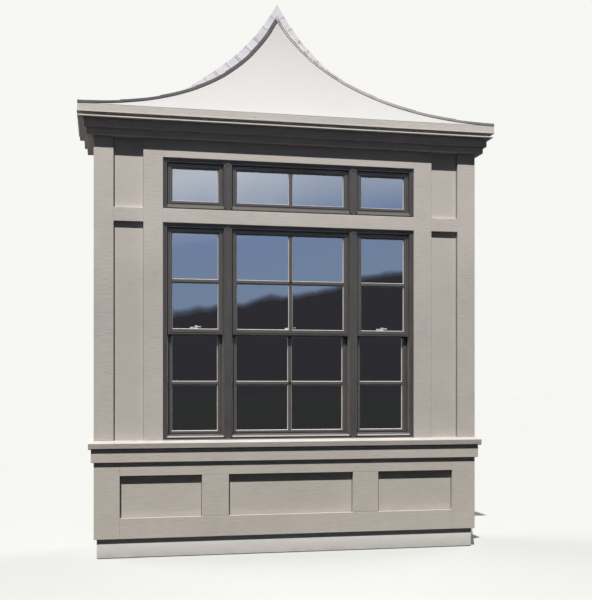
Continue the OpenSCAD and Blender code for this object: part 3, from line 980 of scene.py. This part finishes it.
def roof_strip(name, roof, ends, lifts, wide, edge_y, steps=8, proud=0.003):
    """A bar drawn out up the roof between two heights off it, cut off at crown, wall and middle."""
    start = ends[0]
    step = (ends[1] - start) / steps
    pitch = start / roof.side_r
    normal = Vector((math.sin(pitch), 0, math.cos(pitch)))
    turn = {"orient_axis": "Y", "orient_type": "GLOBAL"}
    here = roof.side(start, edge_y(start))
    clear_selection()
    bpy.ops.mesh.primitive_plane_add(size=1, rotation=(0, math.pi / 2, 0))
    piece = named(name)
    piece.scale = (lifts[1] - lifts[0], wide, 1)
    piece.location = here + Vector((0, wide / 2, sum(lifts) / 2))
    fix_place()
    begin(piece)
    bpy.ops.mesh.select_mode(type="FACE")
    pick_all()
    bpy.ops.transform.rotate(value=-pitch, center_override=here, **turn)
    for i in range(1, steps + 1):
        along = start + step * i
        there = roof.side(along, edge_y(along))
        bpy.ops.mesh.extrude_region_move(TRANSFORM_OT_translate={
            "value": there - here - normal * (proud / steps)})
        bpy.ops.transform.rotate(value=-step / roof.side_r, center_override=there, **turn)
        here = there
    pick_all()
    bpy.ops.transform.translate(value=normal * proud)
    outward_faces()
    pick(piece, edges=lambda e: len(e.link_faces) == 2 and e.calc_face_angle(0) > math.radians(50))
    bevel(min(0.0016, wide / 4), clamp_overlap=True)
    cut_off(((0, roof.front_y - 0.002, 0), (0, -1, 0)),
            ((0, roof.wall_y - 0.0065, 0), (0, 1, 0)),
            ((0.0003, 0, 0), (-1, 0, 0)))
    return piece


class BAY_OT_edging(Operator):
    """Lays lapped metal edging along both hips, foot strips under the flashing and a drip under the crown"""
    bl_idname = "bay.edging"
    bl_label = "Hip edging, foot strips and drip strip"

    LAP, CLEAR, THICKER_BY, THICKEST_PIECE = 0.014, 0.0015, 0.0015, 5
    FOOT_LIFTS, FOOT_WIDE, FOOT_FROM_WALL = (0.0005, 0.0235), 0.0024, 0.009
    FOOT_START, FOOT_REACH = 0.02, 0.03
    DRIP_PROUD, DRIP_BELOW, DRIP_IN = 0.002, 0.003, 0.004

    def execute(self, context):
        s = sizes()
        roof = RoofCurves()
        top = BAY_OT_shingles.BED + s.shingle_butt + self.CLEAR
        for k in range(math.ceil(roof.length() / s.edging_piece)):
            start = k * s.edging_piece
            end = min(start + s.edging_piece + self.LAP, roof.length() - 0.001)
            thicker = min(k, self.THICKEST_PIECE) * self.THICKER_BY
            lifts = (-self.CLEAR - thicker / 2, top + thicker)
            right = roof_strip(f"hip_edging_right_{k}", roof, (start, end), lifts, s.edging_width,
                               lambda along: roof.hip_y(along) - s.edging_over)
            # The left-hand copy of each piece gets the darker metal, a painted shade.
            edging_pair(right, "hip_edging_light", f"hip_edging_left_{k}", "hip_edging_painted_shade")
        ends = (roof.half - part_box("step_flashing")[1].x + self.FOOT_START, roof.length() + self.FOOT_REACH)
        # The foot strips take the darker copy of the flashing metal, a painted shade.
        foot = roof_strip("flashing_foot_right", roof, ends, self.FOOT_LIFTS, self.FOOT_WIDE,
                          lambda along: roof.wall_y - self.FOOT_FROM_WALL, steps=28, proud=0)
        edging_pair(foot, "flashing_foot", "flashing_foot_left", "flashing_foot")
        self.drip()
        return {"FINISHED"}

    def drip(self):
        """A thin bright strip nailed under the crown board, a little wavy."""
        low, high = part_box("crown_fascia")
        z0, z1 = low.z - self.DRIP_BELOW, low.z + self.DRIP_IN
        strips = [block("drip_strip", (low.x + 0.0002, low.y - self.DRIP_PROUD, z0),
                        (high.x - 0.0002, low.y + self.DRIP_IN, z1))]
        for x, side in ((low.x, -1), (high.x, 1)):
            strips.append(block("drip_strip", (x + self.DRIP_PROUD * side, low.y + 0.001, z0),
                                (x - self.DRIP_IN * side, high.y - 0.0005, z1)))
        for strip, axis, cuts in zip(strips, (X, Y, Y), (30, 8, 8)):
            begin(strip)
            pick(strip, edges=lambda e: abs((e.verts[0].co - e.verts[1].co)[axis]) > 0.3)
            bpy.ops.mesh.subdivide(number_cuts=cuts)
            pick_all()
            bpy.ops.transform.vertex_random(offset=0.0005, normal=0, seed=3)
        done(joined("crown_drip_strip", strips), "drip_paint", smooth=40)


def add_sun(name, towards, strength, angle, colour):
    """A sun that shines from one direction; the fills stand behind, so the front keeps its shade."""
    data = bpy.data.lights.new(name, "SUN")
    data.energy, data.angle, data.color = strength, angle, colour
    made = added(name, data)
    made.location = (0, 0, 8)
    made.rotation_euler = Vector(towards).to_track_quat("Z", "Y").to_euler()


def fitted_camera():
    focal_px, height_px = 958, 600
    horizon_px, side_turn = 385, math.radians(11.5)
    distance, across, eye = 6.72, -1.337, 1.2
    data = bpy.data.cameras.new("camera")
    data.lens = focal_px / height_px * data.sensor_width
    data.shift_y = (horizon_px - height_px / 2) / height_px
    data.dof.use_dof = False
    made = added("camera", data)
    made.location = (across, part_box("corner_boards")[0].y - distance, eye)
    made.rotation_euler = (math.pi / 2, 0, -side_turn)
    return made


class BAY_OT_stage(Operator):
    """Makes the floor, the lights and the camera"""
    bl_idname = "bay.stage"
    bl_label = "Stage"

    FLOOR_SIZE, FLOOR_Z = 240, -0.0005
    FLOOR_SEEN, FLOOR_LIT = (191, 193, 192), (40, 40, 40)
    BACKDROP, EVEN_LIGHT, EVEN_STRENGTH = (247, 247, 244), (204, 219, 250), 0.09
    ROOM, SKY_STRENGTH = (0.03, 0.03, 0.034), 1.15
    BAND_ROUGH, BAND_SLOPE = -0.05, -0.19
    SKY = ((0.034, (0.045, 0.04, 0.048)), (0.039, (0.6, 0.84, 1.26)), (0.1, (0.55, 0.8, 1.34)),
           (0.17, (1.75, 1.9, 2.15)), (0.6, (0.42, 0.6, 0.95)))
    SUNS = {
        "sun_key": ((-0.18, -0.4765, 0.8606), 4.85, 0.012, (1, 0.975, 0.94)),
        "fill_right": ((0.86, 0.42, 0.3), 1.8, 0.9, (1, 0.99, 0.97)),
        "fill_left": ((-0.86, 0.42, 0.3), 2.2, 0.9, (1, 0.98, 0.95)),
    }

    def execute(self, context):
        clear_selection()
        bpy.ops.mesh.primitive_plane_add(size=self.FLOOR_SIZE, location=(0, 0, self.FLOOR_Z))
        floor = context.active_object
        floor.name = "floor"
        floor.data.materials.append(floor_coat("floor_pale", srgb(*self.FLOOR_SEEN), srgb(*self.FLOOR_LIT)))
        context.scene.world = self.world()
        for name, values in self.SUNS.items():
            add_sun(name, *values)
        context.scene.camera = fitted_camera()
        return {"FINISHED"}

    def world(self):
        """Near white to the camera and a low even light; panes mirror blue above a dark band."""
        world = bpy.data.worlds.new("studio")
        world.use_nodes = True
        board = Nodes(world.node_tree)

        def background(colour, strength):
            return board.node("Background", {"Color": colour, "Strength": strength})

        def over(ray, first, second):
            return board.node("MixShader", {0: board.node("LightPath", output=ray), 1: first, 2: second})

        way = board.node("TexCoord", output="Generated")
        right, up = (board.node("SeparateXYZ", {"Vector": way}, axis) for axis in "XZ")
        rough = board.node("TexNoise", {"Vector": way, "Scale": 9, "Detail": 8})
        slope = board.math("MULTIPLY_ADD", right, self.BAND_SLOPE, up)
        sky = board.node("ValToRGB", {"Fac": board.math("MULTIPLY_ADD", rough, self.BAND_ROUGH, slope)})
        stops = sky.node.color_ramp.elements
        stops.remove(stops[1])
        for i, (place, rgb) in enumerate(self.SKY):
            stop = stops.new(place) if i else stops[0]
            stop.position = place
            stop.color = (*rgb, 1)

        lit = background(srgb(*self.EVEN_LIGHT), self.EVEN_STRENGTH)
        lit = over("Is Glossy Ray", lit, background(sky, self.SKY_STRENGTH))
        lit = over("Is Transmission Ray", lit, background(self.ROOM, 1))
        lit = over("Is Camera Ray", lit, background(srgb(*self.BACKDROP), 1))
        board.feed(world.node_tree.nodes["World Output"].inputs["Surface"], lit)
        return world


CLASSES = (
    BayWindowPaints, BayWindowSizes, BAY_OT_finishes, BAY_OT_boards, BAY_OT_joints, BAY_OT_mouldings,
    BAY_OT_glazing, BAY_OT_locks, BAY_OT_shingles, BAY_OT_edging, BAY_OT_stage)


class BAY_PT_panel(Panel):
    """Lists the steps and the values of the bay window"""
    bl_idname = "BAY_PT_panel"
    bl_label = "Bay Window"
    bl_space_type = "VIEW_3D"
    bl_region_type = "UI"
    bl_category = "Bay Window"

    def draw(self, context):
        layout = self.layout
        for values in (context.scene.bay_sizes, context.scene.bay_paints):
            for key in values.__annotations__:
                layout.prop(values, key)
        for step in CLASSES:
            if issubclass(step, Operator):
                layout.operator(step.bl_idname)


def register():
    for item in (*CLASSES, BAY_PT_panel):
        bpy.utils.register_class(item)
    bpy.types.Scene.bay_paints = PointerProperty(type=BayWindowPaints)
    bpy.types.Scene.bay_sizes = PointerProperty(type=BayWindowSizes)


def unregister():
    del bpy.types.Scene.bay_sizes
    del bpy.types.Scene.bay_paints
    for item in (BAY_PT_panel, *reversed(CLASSES)):
        bpy.utils.unregister_class(item)


def main():
    register()
    bpy.context.scene.view_settings.view_transform = "Standard"
    random.seed(sizes().seed)
    steps = bpy.ops.bay
    for step in (steps.finishes, steps.boards, steps.joints, steps.mouldings, steps.glazing, steps.locks,
                 steps.shingles, steps.edging, steps.stage):
        if step() != {"FINISHED"}:
            raise RuntimeError("a step of the bay window was cancelled")


if __name__ == "__main__":
    main()
